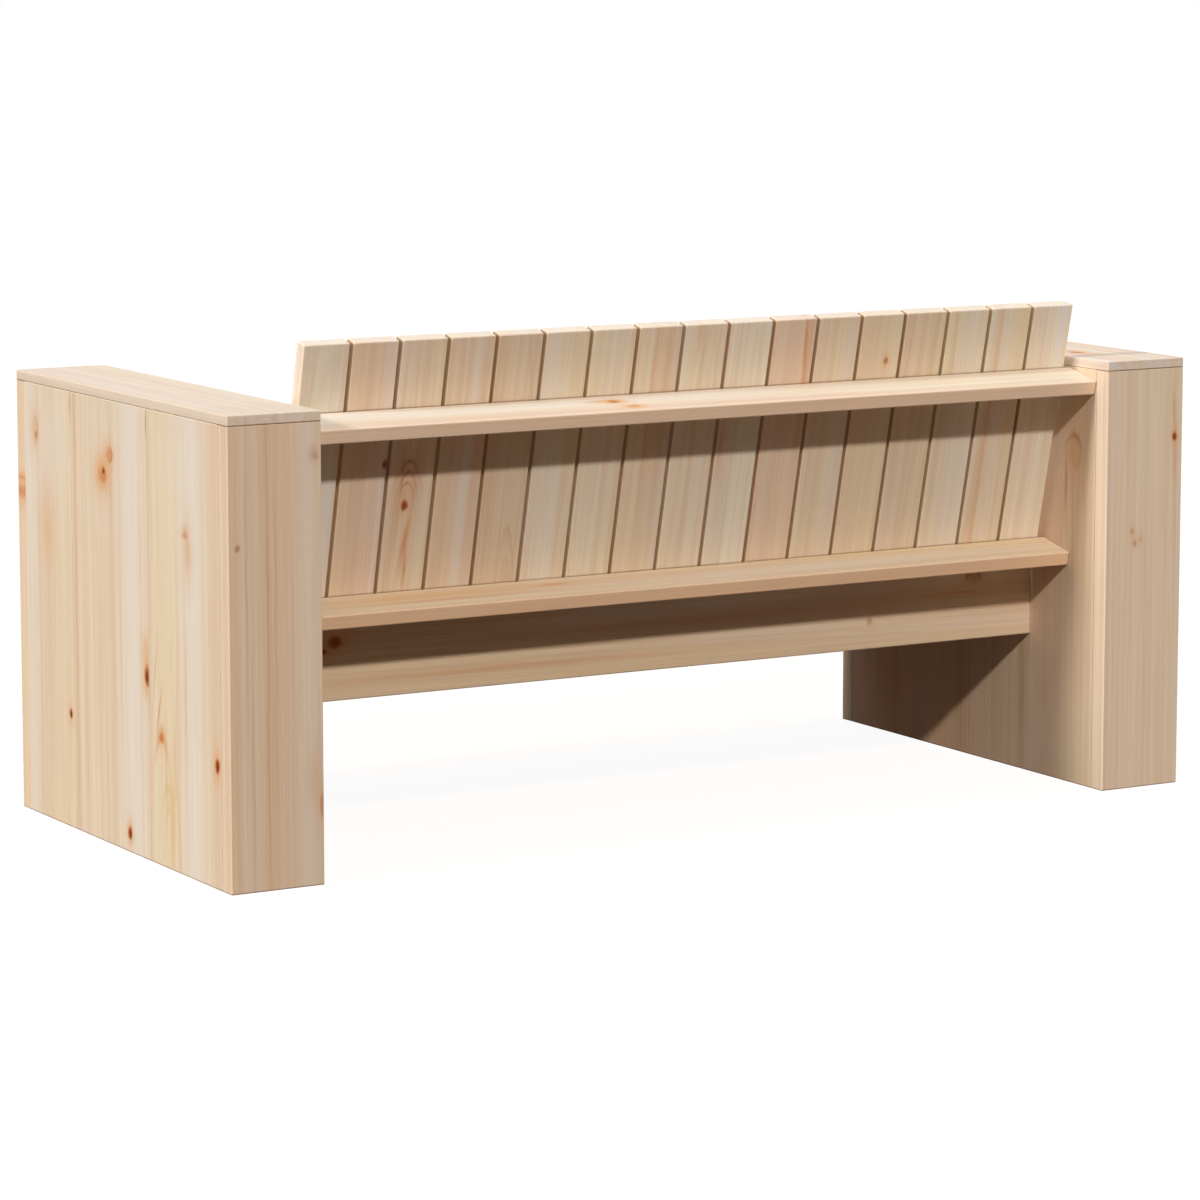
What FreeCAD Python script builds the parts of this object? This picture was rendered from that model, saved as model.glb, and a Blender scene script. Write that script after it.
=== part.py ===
import FreeCAD, Part
import os
import re
import Sketcher

# Slatted pine bench with two box arms, in millimetres, +Z up, seen by a sitter who looks along -Y.
# The origin lies on the floor under the middle of the bench. The sitter's left arm is the one at +X.

os.makedirs("parts", exist_ok=True)
doc = FreeCAD.newDocument("pine_bench")
vector = FreeCAD.Vector

# Driving dimensions: millimetres, but degrees for an angle and a plain number for a count
sizes = {
    # Whole bench
    "bench_width": 1340,
    "bench_depth": 600,
    "seat_height": 299,
    "back_rise": 72,
    # Box arms
    "arm_width": 118,
    "arm_height": 548,
    "cover_thickness": 12,
    "end_board_thickness": 24,
    "side_board_thickness": 18,
    "outer_front_plank_width": 139,
    "outer_middle_plank_width": 219,
    "board_edge_round": 1.2,
    "batten_width": 20,
    "batten_floor_gap": 6,
    # Slats of the back and the seat
    "slat_count": 17,
    "slat_gap": 4,
    "slat_end_gap": 10,
    "slat_thickness": 18,
    "slat_edge_round": 2,
    # Back
    "back_tilt_angle": 13,
    "slat_drop": 20,
    "slat_foot_gap": 1.5,
    "rail_depth": 58,
    "rail_thickness": 18,
    "rail_cover_gap": 1.4,
    "lower_rail_rise": 19,
    # Seat
    "seat_front_inset": 10,
    "apron_setback": 10,
    "apron_height": 100,
    "apron_thickness": 24,
    "cleat_width": 18,
    "cleat_height": 60,
    # Fasteners
    "countersink_angle": 90,
    "screw_clearance": 0.3,
    "screw_sink": 0.1,
    "slat_screw_diameter": 4,
    "slat_screw_head_diameter": 8,
    "slat_screw_length": 35,
    "batten_screw_diameter": 4,
    "batten_screw_head_diameter": 8,
    "batten_screw_length": 30,
    "batten_screw_count": 3,
    "batten_screw_inset": 70,
    "batten_screw_stagger": 25,
    "cleat_screw_inset": 40,
    "frame_screw_diameter": 5,
    "frame_screw_head_diameter": 10,
    "frame_screw_length": 50,
    "rail_screw_inset": 8,
    "rail_screw_spacing": 12,
    "apron_screw_inset": 20,
    "dowel_diameter": 8,
    "dowel_length": 30,
    "dowel_depth_in_cover": 7,
    "dowel_clearance": 0.2,
}

# Lengths that follow from the driving dimensions
derived = {
    "half_depth": "bench_depth / 2",
    "inner_width": "bench_width - 2 * arm_width",
    "inner_face": "inner_width / 2",
    "board_height": "arm_height - cover_thickness",
    "side_length": "bench_depth - 2 * end_board_thickness",
    "outer_rear_plank_width": "side_length - outer_front_plank_width - outer_middle_plank_width",
    "batten_height": "board_height - batten_floor_gap",
    "slat_width": "(inner_width - 2 * slat_end_gap - (slat_count - 1) * slat_gap) / slat_count",
    "slat_pitch": "slat_width + slat_gap",
    "first_slat_centre": "slat_end_gap + slat_width / 2",
    "lean": "back_tilt_angle",
    "back_slat_length": "(arm_height + back_rise - seat_height + slat_drop) / cos(lean)",
    "slat_foot_height": "seat_height - slat_drop",
    "upper_rail_top": "(board_height - rail_cover_gap - slat_foot_height + slat_thickness * sin(lean)) / cos(lean)",
    "upper_rail_foot": "upper_rail_top - rail_thickness",
    "rail_reach": "(slat_thickness + rail_depth) * cos(lean) + upper_rail_top * sin(lean)",
    "slat_foot_y": "half_depth - end_board_thickness - rail_reach",
    "seat_front_y": "seat_front_inset - half_depth",
    "seat_rear_y": "slat_foot_y - slat_foot_gap",
    "seat_slat_length": "seat_rear_y - seat_front_y",
    "seat_underside": "seat_height - slat_thickness",
    "apron_foot": "seat_underside - apron_height",
    "front_apron_y": "seat_front_y + apron_setback",
    "rear_apron_y": "seat_rear_y - apron_thickness",
    "cleat_y": "front_apron_y + apron_thickness",
    "cleat_length": "rear_apron_y - cleat_y",
    "cleat_foot": "seat_underside - cleat_height",
    "cleat_screw_span": "cleat_length - 2 * cleat_screw_inset",
    "batten_screw_span": "board_height - 2 * batten_screw_inset",
    "batten_y": "half_depth - end_board_thickness - batten_width",
    "batten_x": "side_board_thickness - bench_width / 2",
    "batten_centre": "side_board_thickness + batten_width / 2",
    "batten_end_centre": "end_board_thickness + batten_width / 2",
    "slat_screw_bite": "slat_screw_length - slat_thickness + screw_clearance",
    "frame_screw_bite": "frame_screw_length - side_board_thickness + screw_clearance",
    "batten_screw_bite": "batten_screw_length - batten_width + screw_clearance",
    "cleat_screw_bite": "batten_screw_length - cleat_width + screw_clearance",
    "dowel_bore": "dowel_diameter + 2 * dowel_clearance",
    "dowel_foot": "board_height + dowel_depth_in_cover - dowel_length",
    "half_turn": "180",
}

sheet = doc.addObject("Spreadsheet::Sheet", "Sizes")
for row, (alias, size) in enumerate(sizes.items(), start=1):
    sheet.set(f"A{row}", alias)
    sheet.set(f"B{row}", str(size))
    sheet.setAlias(f"B{row}", alias)
doc.recompute()

# Faces of a plank that can be drilled: origin plane, side that it lies on, and whether the drill runs along +
drilled_faces = {
    "front": ("XZ_Plane", None, False),
    "rear": ("XZ_Plane", "along_y", True),
    "bottom": ("XY_Plane", None, True),
    "top": ("XY_Plane", "along_z", False),
    "low_x": ("YZ_Plane", None, True),
    "high_x": ("YZ_Plane", "along_x", False),
}

plank_sizes = {}
nodes = {}


def formula(text):
    """Turn the names of sizes and derived lengths into references to the sheet."""

    def reference(match):
        word = match.group(0)
        if word in derived:
            return f"({formula(derived[word])})"
        if word in sizes:
            return f"Sizes.{word}"
        return word

    return re.sub(r"[a-z][a-z_]*", reference, text)


def amount(text):
    """The present value of a formula."""
    return float(sheet.evalExpression(formula(text)))


def bind(thing, **properties):
    """Bind properties, written with __ for a dot, to formulas."""
    for path, text in properties.items():
        thing.setExpression(path.replace("__", "."), formula(text))


def origin_feature(body, role):
    return next(feature for feature in body.Origin.OriginFeatures if feature.Role == role)


def new_sketch(body, label, role):
    sketch = body.newObject("Sketcher::SketchObject", label)
    sketch.AttachmentSupport = [(origin_feature(body, role), "")]
    sketch.MapMode = "FlatFace"
    return sketch


def constrain(sketch, name, text, kind, *points):
    """Add a distance that follows a formula."""
    index = sketch.addConstraint(Sketcher.Constraint(kind, *points, amount(text)))
    sketch.renameConstraint(index, name)
    sketch.setExpression(f"Constraints.{name}", formula(text))


def closed_outline(sketch, corners):
    """Draw straight lines from corner to corner and back to the first, which is held at the origin."""
    count = len(corners)
    for index, (across, up) in enumerate(corners):
        next_across, next_up = corners[(index + 1) % count]
        sketch.addGeometry(Part.LineSegment(vector(across, up), vector(next_across, next_up)), False)
    for index in range(count):
        sketch.addConstraint(Sketcher.Constraint("Coincident", index, 2, (index + 1) % count, 1))
    sketch.addConstraint(Sketcher.Constraint("Coincident", 0, 1, -1, 1))


def place(thing, x, y, z, axis=None, angle=None):
    """Put a thing's origin at x, y and z, turned about an axis."""
    if axis is not None:
        thing.Placement = FreeCAD.Placement(vector(), FreeCAD.Rotation(axis, amount(angle)))
        bind(thing, Placement__Rotation__Angle=angle)
    bind(thing, Placement__Base__x=x, Placement__Base__y=y, Placement__Base__z=z)


def plank(label, along_x, along_y, along_z, edge_round):
    """A sawn piece from its own origin along +X, +Y and +Z, with all its edges eased."""
    body = doc.addObject("PartDesign::Body", label)
    outline = new_sketch(body, f"{label}_outline", "XY_Plane")
    wide = amount(along_x)
    deep = amount(along_y)
    closed_outline(outline, [(0, 0), (wide, 0), (wide, deep), (0, deep)])
    for line in (0, 2):
        outline.addConstraint(Sketcher.Constraint("Horizontal", line))
    for line in (1, 3):
        outline.addConstraint(Sketcher.Constraint("Vertical", line))
    constrain(outline, "wide", along_x, "DistanceX", 0, 1, 0, 2)
    constrain(outline, "deep", along_y, "DistanceY", 1, 1, 1, 2)
    sawn = body.newObject("PartDesign::Pad", f"{label}_sawn")
    sawn.Profile = outline
    bind(sawn, Length=along_z)
    doc.recompute()
    eased = body.newObject("PartDesign::Fillet", f"{label}_eased")
    eased.Base = (sawn, [f"Edge{number}" for number in range(1, len(sawn.Shape.Edges) + 1)])
    bind(eased, Radius=edge_round)
    plank_sizes[label] = {"along_x": along_x, "along_y": along_y, "along_z": along_z}
    return body


def drill(body, face, marks, bore, depth=None, head=None):
    """Drill a plank at marks on one face: right through or to a depth, countersunk for a head if there is one."""
    role, side, forwards = drilled_faces[face]
    label = f"{body.Name}_{face}_marks"
    sketch = new_sketch(body, label, role)
    if side is not None:
        offset = plank_sizes[body.Name][side]
        # The front-to-back plane looks along -Y, so a face at +Y lies at a negative distance on it.
        bind(sketch, AttachmentOffset__Base__z=f"-({offset})" if side == "along_y" else offset)
    for number, (across, up) in enumerate(marks):
        centre = vector(amount(across), amount(up))
        circle = sketch.addGeometry(Part.Circle(centre, vector(0, 0, 1), amount(bore) / 2), False)
        constrain(sketch, f"across_{number}", across, "DistanceX", -1, 1, circle, 3)
        constrain(sketch, f"up_{number}", up, "DistanceY", -1, 1, circle, 3)
        constrain(sketch, f"bore_{number}", bore, "Diameter", circle)
    doc.recompute()
    volume_before = body.Shape.Volume
    hole = body.newObject("PartDesign::Hole", f"{body.Name}_{face}_holes")
    hole.Profile = sketch
    doc.recompute()
    hole.ThreadType = "None"
    hole.Reversed = forwards
    bind(hole, Diameter=bore)
    if depth is None:
        hole.DepthType = "ThroughAll"
    else:
        hole.DepthType = "Dimension"
        hole.DrillPoint = "Flat"
        bind(hole, Depth=depth)
    if head is not None:
        hole.HoleCutType = "Countersink"
        hole.HoleCutCustomValues = True
        bind(hole, HoleCutDiameter=head, HoleCutCountersinkAngle="countersink_angle")
    doc.recompute()
    if not body.Shape.Volume < volume_before:
        raise RuntimeError(f"{label}: the holes cut nothing")


def screw_bore(kind):
    return f"{kind}_diameter + 2 * screw_clearance"


def screw_head_bore(kind):
    return f"{kind}_head_diameter + 2 * screw_clearance"


def screws(label, kind, heading, pattern):
    """Countersunk screws with their points along the heading axis, repeated along one or two axes."""
    body = doc.addObject("PartDesign::Body", label)
    sketch = new_sketch(body, f"{label}_profile", "XZ_Plane" if heading == "Z" else "XY_Plane")
    head_radius = f"{kind}_head_diameter / 2"
    shank_radius = f"{kind}_diameter / 2"
    head_depth = f"({head_radius} - {shank_radius}) / tan(countersink_angle / 2)"
    length = f"{kind}_length"
    # Each corner of the half section is a distance along the screw and a distance from its axis.
    corners = [
        (0, 0),
        (0, amount(head_radius)),
        (amount(head_depth), amount(shank_radius)),
        (amount(length), amount(shank_radius)),
        (amount(length), 0),
    ]
    lies_flat = heading == "X"
    closed_outline(sketch, corners if lies_flat else [(radius, along) for along, radius in corners])
    square_lines, axial_lines = (0, 3), (2, 4)
    for line in square_lines:
        sketch.addConstraint(Sketcher.Constraint("Vertical" if lies_flat else "Horizontal", line))
    for line in axial_lines:
        sketch.addConstraint(Sketcher.Constraint("Horizontal" if lies_flat else "Vertical", line))
    along_kind, radius_kind = ("DistanceX", "DistanceY") if lies_flat else ("DistanceY", "DistanceX")
    constrain(sketch, "head_radius", head_radius, radius_kind, -1, 1, 0, 2)
    constrain(sketch, "shank_radius", shank_radius, radius_kind, -1, 1, 1, 2)
    constrain(sketch, "head_depth", head_depth, along_kind, -1, 1, 1, 2)
    constrain(sketch, "overall_length", length, along_kind, -1, 1, 2, 2)
    turned = body.newObject("PartDesign::Revolution", f"{label}_turned")
    turned.Profile = sketch
    turned.ReferenceAxis = (sketch, ["H_Axis" if lies_flat else "V_Axis"])
    doc.recompute()
    rows = body.newObject("PartDesign::LinearPattern", f"{label}_rows")
    rows.Originals = [turned]
    for suffix, (axis, count, span) in zip(("", "2"), pattern):
        setattr(rows, f"Direction{suffix}", (origin_feature(body, f"{axis}_Axis"), [""]))
        rows.setExpression(f"Length{suffix}", formula(span))
        rows.setExpression(f"Occurrences{suffix}", formula(count))
    body.Tip = rows
    return body


def mirrored(source, label, normal, **base):
    """The mirror image of a piece or a group."""
    image = doc.addObject("Part::Mirroring", label)
    image.Source = source
    image.Normal = normal
    for axis, text in base.items():
        image.setExpression(f"Base.{axis}", formula(text))
    return image


def group(label, members):
    together = doc.addObject("Part::Compound", label)
    together.Links = members
    return together


def keep(thing):
    nodes[thing.Label] = thing
    return thing


# Places along a screw row, counted from its first screw
def row_places(first, count, span):
    steps = int(amount(count)) - 1
    return [f"({first}) + ({span}) * {step} / {steps}" for step in range(steps + 1)]


def slat_places():
    return row_places("first_slat_centre", "slat_count", "(slat_count - 1) * slat_pitch")


# Back, whose pieces share one leaning frame with its origin at the front lower corner of the slats
towards_back = vector(-1, 0, 0)


def place_on_back(body, across, behind, up):
    """Put a piece at a distance behind the slats' front face and at a height along the slats."""
    place(
        body,
        across,
        f"slat_foot_y + ({behind}) * cos(lean) + ({up}) * sin(lean)",
        f"slat_foot_height - ({behind}) * sin(lean) + ({up}) * cos(lean)",
        towards_back,
        "back_tilt_angle",
    )


def point_on_back(behind, up):
    """Distance from the rear end of the front board, and height, of a point of the leaning frame."""
    from_front_board = "half_depth - end_board_thickness"
    return (
        f"{from_front_board} + slat_foot_y + ({behind}) * cos(lean) + ({up}) * sin(lean)",
        f"slat_foot_height - ({behind}) * sin(lean) + ({up}) * cos(lean)",
    )


rail_feet = {"upper_back_rail": "upper_rail_foot", "lower_back_rail": "lower_rail_rise"}


def make_back():
    screw_heights = [f"{foot} + rail_thickness / 2" for foot in rail_feet.values()]
    for number in range(int(amount("slat_count"))):
        slat = plank(
            f"back_slat_{number + 1:02d}", "slat_width", "slat_thickness", "back_slat_length", "slat_edge_round"
        )
        place_on_back(slat, f"slat_end_gap - inner_face + {number} * slat_pitch", "0", "0")
        marks = [("slat_width / 2", height) for height in screw_heights]
        drill(slat, "front", marks, screw_bore("slat_screw"), head=screw_head_bore("slat_screw"))
        keep(slat)
    for label, foot in rail_feet.items():
        rail = plank(label, "inner_width", "rail_depth", "rail_thickness", "slat_edge_round")
        place_on_back(rail, "-inner_face", "slat_thickness", foot)
        slat_marks = [(across, "rail_thickness / 2") for across in slat_places()]
        drill(rail, "front", slat_marks, screw_bore("slat_screw"), depth="slat_screw_bite")
        end_marks = [(behind, "rail_thickness / 2") for behind in rail_screw_places()]
        for end in ("low_x", "high_x"):
            drill(rail, end, end_marks, screw_bore("frame_screw"), depth="frame_screw_bite")
        keep(rail)
    pattern = [
        ("X", "slat_count", "(slat_count - 1) * slat_pitch"),
        ("Z", "2", "upper_rail_foot - lower_rail_rise"),
    ]
    back_slat_screws = screws("back_slat_screws", "slat_screw", "Y", pattern)
    place_on_back(back_slat_screws, "first_slat_centre - inner_face", "screw_sink", screw_heights[1])
    keep(back_slat_screws)


def rail_screw_places():
    return ["rail_screw_inset", "rail_screw_inset + rail_screw_spacing"]


# Seat
def apron_screw_places():
    return ["apron_screw_inset", "apron_height - apron_screw_inset"]


def make_seat():
    screw_places = ["apron_setback + apron_thickness / 2", "seat_slat_length - apron_thickness / 2"]
    for number in range(int(amount("slat_count"))):
        slat = plank(
            f"seat_slat_{number + 1:02d}", "slat_width", "seat_slat_length", "slat_thickness", "slat_edge_round"
        )
        place(slat, f"slat_end_gap - inner_face + {number} * slat_pitch", "seat_front_y", "seat_underside")
        marks = [("slat_width / 2", along) for along in screw_places]
        drill(slat, "top", marks, screw_bore("slat_screw"), head=screw_head_bore("slat_screw"))
        keep(slat)
    for label, apron_y in {"front_apron": "front_apron_y", "rear_apron": "rear_apron_y"}.items():
        apron = plank(label, "inner_width", "apron_thickness", "apron_height", "slat_edge_round")
        place(apron, "-inner_face", apron_y, "apron_foot")
        slat_marks = [(across, "apron_thickness / 2") for across in slat_places()]
        drill(apron, "top", slat_marks, screw_bore("slat_screw"), depth="slat_screw_bite")
        end_marks = [("apron_thickness / 2", up) for up in apron_screw_places()]
        for end in ("low_x", "high_x"):
            drill(apron, end, end_marks, screw_bore("frame_screw"), depth="frame_screw_bite")
        keep(apron)
    cleat = plank("right_seat_cleat", "cleat_width", "cleat_length", "cleat_height", "slat_edge_round")
    place(cleat, "-inner_face", "cleat_y", "cleat_foot")
    marks = [(along, "cleat_height / 2") for along in cleat_screw_places()]
    drill(cleat, "high_x", marks, screw_bore("batten_screw"), head=screw_head_bore("batten_screw"))
    keep(cleat)
    keep(mirrored(cleat, "left_seat_cleat", vector(1, 0, 0)))
    # These screws point down, so the pattern of the turned body runs from the rear apron to the front one.
    pattern = [
        ("X", "slat_count", "(slat_count - 1) * slat_pitch"),
        ("Y", "2", "rear_apron_y - front_apron_y"),
    ]
    seat_slat_screws = screws("seat_slat_screws", "slat_screw", "Z", pattern)
    place(
        seat_slat_screws,
        "first_slat_centre - inner_face",
        "rear_apron_y + apron_thickness / 2",
        "seat_height - screw_sink",
        vector(1, 0, 0),
        "half_turn",
    )
    keep(seat_slat_screws)


def cleat_screw_places():
    return row_places("cleat_screw_inset", "batten_screw_count", "cleat_screw_span")


# Box arms: the right one is built, and the left one is its mirror image
def batten_screw_heights(raised="0"):
    return row_places(f"batten_screw_inset + {raised}", "batten_screw_count", "batten_screw_span")


def make_arm_boards():
    """Cover, end boards, outer planks and inner panel of both arms."""
    raised_heights = batten_screw_heights("batten_screw_stagger")
    boards = [make_cover(), *make_end_boards(), *make_outer_planks(raised_heights)]
    boards.append(make_inner_panel(raised_heights))
    for board in boards:
        keep(board)
    for board in boards:
        keep(mirrored(board, board.Label.replace("right", "left"), vector(1, 0, 0)))


def batten_centres_across():
    return ["batten_centre", "arm_width - (batten_centre)"]


def make_cover():
    cover = plank("right_arm_cover", "arm_width", "bench_depth", "cover_thickness", "board_edge_round")
    place(cover, "-bench_width / 2", "-half_depth", "board_height")
    corner_marks = [
        (across, along)
        for across in batten_centres_across()
        for along in ("batten_end_centre", "bench_depth - (batten_end_centre)")
    ]
    drill(cover, "bottom", corner_marks, "dowel_bore", depth="dowel_depth_in_cover + dowel_clearance")
    return cover


def make_end_boards():
    end_boards = []
    end_marks = [(across, height) for across in batten_centres_across() for height in batten_screw_heights()]
    for end, board_y, inside in (
        ("front", "-half_depth", "rear"),
        ("rear", "half_depth - end_board_thickness", "front"),
    ):
        board = plank(
            f"right_arm_{end}_board", "arm_width", "end_board_thickness", "board_height", "board_edge_round"
        )
        place(board, "-bench_width / 2", board_y, "0")
        drill(board, inside, end_marks, screw_bore("batten_screw"), depth="batten_screw_bite")
        end_boards.append(board)
    return end_boards


def make_outer_planks(raised_heights):
    outer_planks = []
    plank_y = "end_board_thickness - half_depth"
    for part, width, screw_place in (
        ("front", "outer_front_plank_width", "batten_width / 2"),
        ("middle", "outer_middle_plank_width", None),
        ("rear", "outer_rear_plank_width", "outer_rear_plank_width - batten_width / 2"),
    ):
        outer_plank = plank(
            f"right_arm_outer_{part}_plank", "side_board_thickness", width, "board_height", "board_edge_round"
        )
        place(outer_plank, "-bench_width / 2", plank_y, "0")
        plank_y = f"{plank_y} + {width}"
        if screw_place is not None:
            marks = [(screw_place, height) for height in raised_heights]
            drill(outer_plank, "high_x", marks, screw_bore("batten_screw"), depth="batten_screw_bite")
        outer_planks.append(outer_plank)
    return outer_planks


def make_inner_panel(raised_heights):
    panel = plank(
        "right_arm_inner_panel", "side_board_thickness", "side_length", "board_height", "board_edge_round"
    )
    place(panel, "-side_board_thickness - inner_face", "end_board_thickness - half_depth", "0")
    # Through holes for the frame screws, countersunk inside the arm, in line with the rails and aprons
    frame_marks = [
        point_on_back(f"slat_thickness + {behind}", f"{foot} + rail_thickness / 2")
        for foot in rail_feet.values()
        for behind in rail_screw_places()
    ]
    for apron_y in ("front_apron_y", "rear_apron_y"):
        along = f"half_depth - end_board_thickness + {apron_y} + apron_thickness / 2"
        frame_marks += [(along, f"apron_foot + {up}") for up in apron_screw_places()]
    drill(panel, "low_x", frame_marks, screw_bore("frame_screw"), head=screw_head_bore("frame_screw"))
    batten_places = ["batten_width / 2", "side_length - batten_width / 2"]
    batten_marks = [(along, height) for along in batten_places for height in raised_heights]
    drill(panel, "low_x", batten_marks, screw_bore("batten_screw"), depth="batten_screw_bite")
    cleat_marks = [
        (f"half_depth - end_board_thickness + cleat_y + {along}", "cleat_foot + cleat_height / 2")
        for along in cleat_screw_places()
    ]
    drill(panel, "high_x", cleat_marks, screw_bore("batten_screw"), depth="cleat_screw_bite")
    return panel


def across_arm(source, label):
    """Mirror image in the middle plane of the right arm."""
    return mirrored(source, label, vector(1, 0, 0), x="arm_width / 2 - bench_width / 2")


def at_eight_corners(label, first):
    """Repeat what stands in the outer rear corner of the right arm in all corners of both arms."""
    pair = group(f"{label}_pair", [first, across_arm(first, f"{label}_across")])
    arm = group(f"{label}_arm", [pair, mirrored(pair, f"{label}_front", vector(0, 1, 0))])
    return [arm, mirrored(arm, f"{label}_left", vector(1, 0, 0))]


def make_arm_insides():
    """Corner battens with their screws and dowels."""
    batten = plank("corner_batten", "batten_width", "batten_width", "batten_height", "board_edge_round")
    place(batten, "batten_x", "batten_y", "batten_floor_gap")
    bore = screw_bore("batten_screw")
    head = screw_head_bore("batten_screw")
    to_end_board = [("batten_width / 2", f"{up} - batten_floor_gap") for up in batten_screw_heights()]
    drill(batten, "front", to_end_board, bore, head=head)
    raised_heights = batten_screw_heights("batten_screw_stagger")
    to_side_board = [("batten_width / 2", f"{up} - batten_floor_gap") for up in raised_heights]
    drill(batten, "high_x", to_side_board, bore, head=head)
    dowel_depth = "dowel_length - dowel_depth_in_cover + dowel_clearance"
    drill(batten, "top", [("batten_width / 2", "batten_width / 2")], "dowel_bore", depth=dowel_depth)
    keep(group("arm_corner_battens", at_eight_corners("batten", batten)))

    upright_row = [("Z", "batten_screw_count", "batten_screw_span")]
    end_screws = screws("batten_end_screws", "batten_screw", "Y", upright_row)
    place(end_screws, "batten_x + batten_width / 2", "batten_y + screw_sink", "batten_screw_inset")
    side_screws = screws("batten_side_screws", "batten_screw", "X", upright_row)
    place(
        side_screws,
        "batten_x + batten_width - screw_sink",
        "batten_y + batten_width / 2",
        "batten_screw_inset + batten_screw_stagger",
        vector(0, 0, 1),
        "half_turn",
    )
    corner_screws = group("corner_screws", [end_screws, side_screws])
    # The cleat screws point to the arm, so their turned row starts at its rear end.
    cleat_screws = screws("cleat_screws", "batten_screw", "X", [("Y", "batten_screw_count", "cleat_screw_span")])
    place(
        cleat_screws,
        "cleat_width - inner_face - screw_sink",
        "cleat_y + cleat_length - cleat_screw_inset",
        "cleat_foot + cleat_height / 2",
        vector(0, 0, 1),
        "half_turn",
    )
    left_cleat_screws = mirrored(cleat_screws, "left_cleat_screws", vector(1, 0, 0))
    batten_screws = at_eight_corners("batten_screw", corner_screws) + [cleat_screws, left_cleat_screws]
    keep(group("batten_screws", batten_screws))

    dowel = doc.addObject("Part::Cylinder", "dowel")
    bind(dowel, Radius="dowel_diameter / 2", Height="dowel_length")
    place(dowel, "batten_x + batten_width / 2", "batten_y + batten_width / 2", "dowel_foot")
    keep(group("cover_dowels", at_eight_corners("dowel", dowel)))


def make_frame_screws():
    """Screws from inside the arms into the ends of the rails and aprons."""
    start_x = "screw_sink - side_board_thickness - inner_face"
    right_screws = []
    for label, foot in rail_feet.items():
        pair = screws(f"{label}_screws", "frame_screw", "X", [("Y", "2", "rail_screw_spacing")])
        place_on_back(pair, start_x, "slat_thickness + rail_screw_inset", f"{foot} + rail_thickness / 2")
        right_screws.append(pair)
    for label, apron_y in {"front_apron": "front_apron_y", "rear_apron": "rear_apron_y"}.items():
        upright_pair = [("Z", "2", "apron_height - 2 * apron_screw_inset")]
        pair = screws(f"{label}_screws", "frame_screw", "X", upright_pair)
        place(pair, start_x, f"{apron_y} + apron_thickness / 2", "apron_foot + apron_screw_inset")
        right_screws.append(pair)
    right_group = group("right_frame_screws", right_screws)
    left_group = mirrored(right_group, "left_frame_screws", vector(1, 0, 0))
    keep(group("frame_screws", [right_group, left_group]))


def check_and_write():
    doc.recompute()
    for thing in doc.Objects:
        if "Invalid" in thing.State or "Error" in thing.State:
            raise RuntimeError(f"{thing.Label} failed: {thing.State}")
    for label, thing in nodes.items():
        shape = thing.Shape
        if shape.isNull() or not shape.isValid() or not shape.Solids:
            raise RuntimeError(f"{label} has no valid shape")
        shape.exportStep(f"parts/{label}.step")
    print(len(nodes), "nodes,", sum(len(thing.Shape.Solids) for thing in nodes.values()), "solids")


make_back()
make_seat()
make_arm_boards()
make_arm_insides()
make_frame_screws()
check_and_write()
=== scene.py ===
import math
import random

import bpy
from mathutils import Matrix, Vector


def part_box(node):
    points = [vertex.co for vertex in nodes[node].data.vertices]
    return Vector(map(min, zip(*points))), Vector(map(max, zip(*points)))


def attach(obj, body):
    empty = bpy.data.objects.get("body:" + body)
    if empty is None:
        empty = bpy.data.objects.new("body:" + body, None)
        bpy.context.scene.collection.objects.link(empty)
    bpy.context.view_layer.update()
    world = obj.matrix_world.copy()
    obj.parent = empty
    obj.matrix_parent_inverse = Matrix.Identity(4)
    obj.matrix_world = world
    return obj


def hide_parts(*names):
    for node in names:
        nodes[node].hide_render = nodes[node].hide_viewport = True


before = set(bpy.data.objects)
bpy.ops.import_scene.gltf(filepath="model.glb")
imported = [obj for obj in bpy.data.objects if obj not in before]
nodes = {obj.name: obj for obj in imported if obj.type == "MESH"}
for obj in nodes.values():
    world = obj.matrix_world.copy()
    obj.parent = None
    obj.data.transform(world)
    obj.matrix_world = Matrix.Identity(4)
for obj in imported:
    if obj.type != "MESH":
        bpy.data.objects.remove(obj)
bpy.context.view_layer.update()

millimetre = 0.001
scene = bpy.context.scene
scene.view_settings.view_transform = "Standard"

# Camera: behind the bench and to its left, a little above the arms
cameraView = {
    "place": (2.8236, 4.8264, 1.1030),
    "azimuth": 149.772,
    "elevation": 7.769,
    "lens": 134.72,
    "shiftUp": -0.06,
}


def lookFrom(azimuth, elevation):
    # Direction from the bench towards the camera, azimuth 0 being the front
    turn = math.radians(azimuth)
    rise = math.radians(elevation)
    return Vector((math.sin(turn) * math.cos(rise), -math.cos(turn) * math.cos(rise), math.sin(rise)))


def makeCamera(view):
    lens = bpy.data.cameras.new("camera")
    lens.lens = view["lens"]
    lens.shift_y = view["shiftUp"]
    camera = bpy.data.objects.new("camera", lens)
    scene.collection.objects.link(camera)
    camera.location = view["place"]
    camera.rotation_mode = "QUATERNION"
    camera.rotation_quaternion = (-lookFrom(view["azimuth"], view["elevation"])).to_track_quat("-Z", "Y")
    scene.camera = camera


makeCamera(cameraView)
print("camera placed")


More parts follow.
